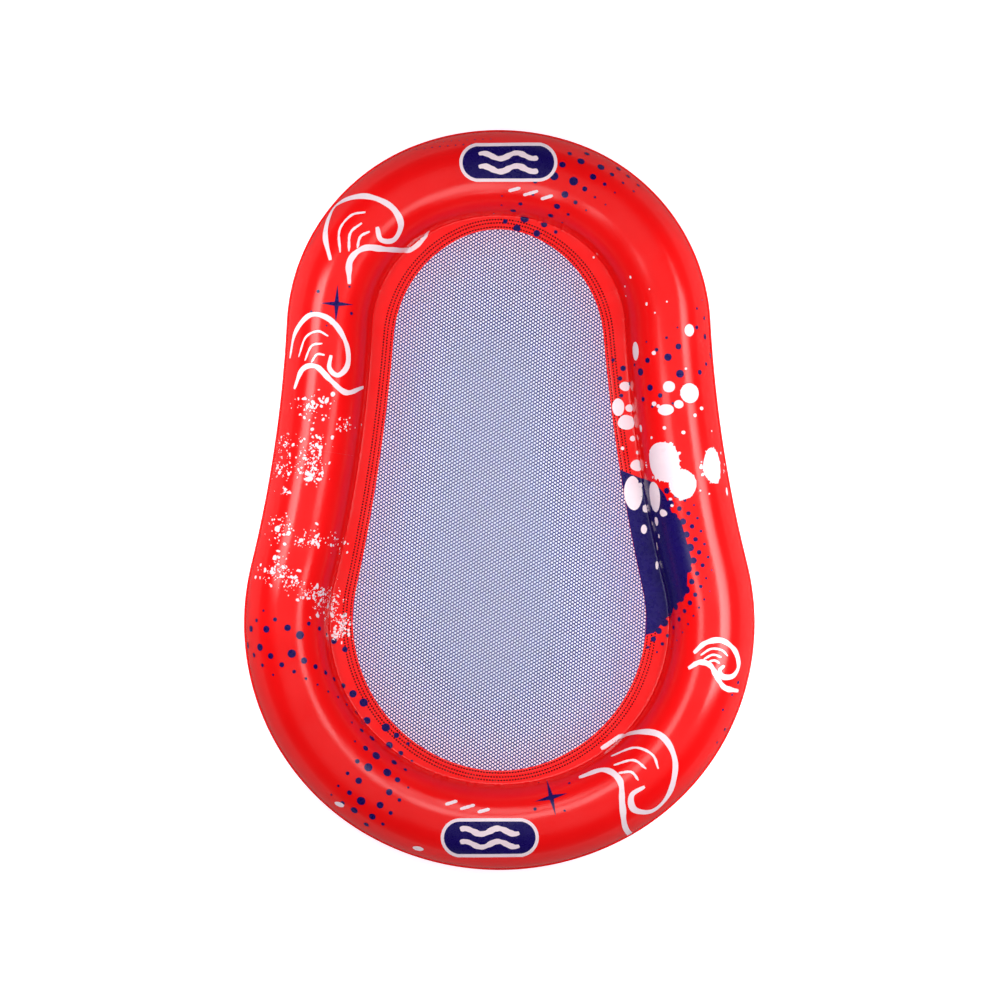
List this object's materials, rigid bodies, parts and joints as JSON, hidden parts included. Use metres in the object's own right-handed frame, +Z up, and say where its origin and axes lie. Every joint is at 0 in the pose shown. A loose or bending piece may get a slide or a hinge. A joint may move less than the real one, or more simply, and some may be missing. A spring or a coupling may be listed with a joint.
{
  "type": "inflatable pool float",
  "caption": "Oval inflatable pool lounger: a round air ring of red welded vinyl, wider at the foot, with an open mesh seat held in the middle and a soft air valve at each end.",
  "frame": {"origin": "on the floor, under the middle of the ring's outline", "axes": "+Y to the narrow head end, +X to the right seen from above, +Z up"},
  "size_m": [1.104, 1.6, 0.18],
  "materials": {
    "top_vinyl": "glossy printed vinyl sheet",
    "bottom_vinyl": "glossy vinyl sheet",
    "divider_vinyl": "plain vinyl sheet",
    "seat_mesh": "open knitted polyester mesh",
    "valve_vinyl": "soft clear vinyl moulding",
    "stopper_vinyl": "soft clear vinyl moulding"
  },
  "bodies": {
    "ring": {"top_skin": "top_vinyl", "bottom_skin": "bottom_vinyl", "mesh_panel": "seat_mesh", "left_divider": "divider_vinyl", "right_divider": "divider_vinyl", "head_valve_collar": "valve_vinyl", "head_valve_neck": "valve_vinyl", "foot_valve_collar": "valve_vinyl", "foot_valve_neck": "valve_vinyl"},
    "head_stem": {"head_valve_stem": "valve_vinyl", "head_valve_strap": "valve_vinyl"},
    "head_stopper": {"head_valve_stopper": "stopper_vinyl"},
    "head_flap": {"head_valve_flap": "valve_vinyl"},
    "foot_stem": {"foot_valve_stem": "valve_vinyl", "foot_valve_strap": "valve_vinyl"},
    "foot_stopper": {"foot_valve_stopper": "stopper_vinyl"},
    "foot_flap": {"foot_valve_flap": "valve_vinyl"}
  },
  "joints": [
    {"name": "head_stem_slide", "type": "slide", "parent": "ring", "child": "head_stem", "axis": [0, 0.7071, -0.7071], "range_m": [0, 0.018], "deforming": ["head_valve_neck"]},
    {"name": "head_stopper_hinge", "type": "hinge", "parent": "head_stem", "child": "head_stopper", "pos_m": [0, 0.78122, 0.03377], "axis": [1, 0, 0], "range_deg": [0, 165]},
    {"name": "head_flap_hinge", "type": "hinge", "parent": "head_stem", "child": "head_flap", "pos_m": [0, 0.75976, 0.04251], "axis": [-1, 0, 0], "range_deg": [0, 50]},
    {"name": "foot_stem_slide", "type": "slide", "parent": "ring", "child": "foot_stem", "axis": [0, -0.7071, -0.7071], "range_m": [0, 0.018], "deforming": ["foot_valve_neck"]},
    {"name": "foot_stopper_hinge", "type": "hinge", "parent": "foot_stem", "child": "foot_stopper", "pos_m": [0, -0.78122, 0.03377], "axis": [-1, 0, 0], "range_deg": [0, 165]},
    {"name": "foot_flap_hinge", "type": "hinge", "parent": "foot_stem", "child": "foot_flap", "pos_m": [0, -0.75976, 0.04251], "axis": [1, 0, 0], "range_deg": [0, 50]}
  ]
}
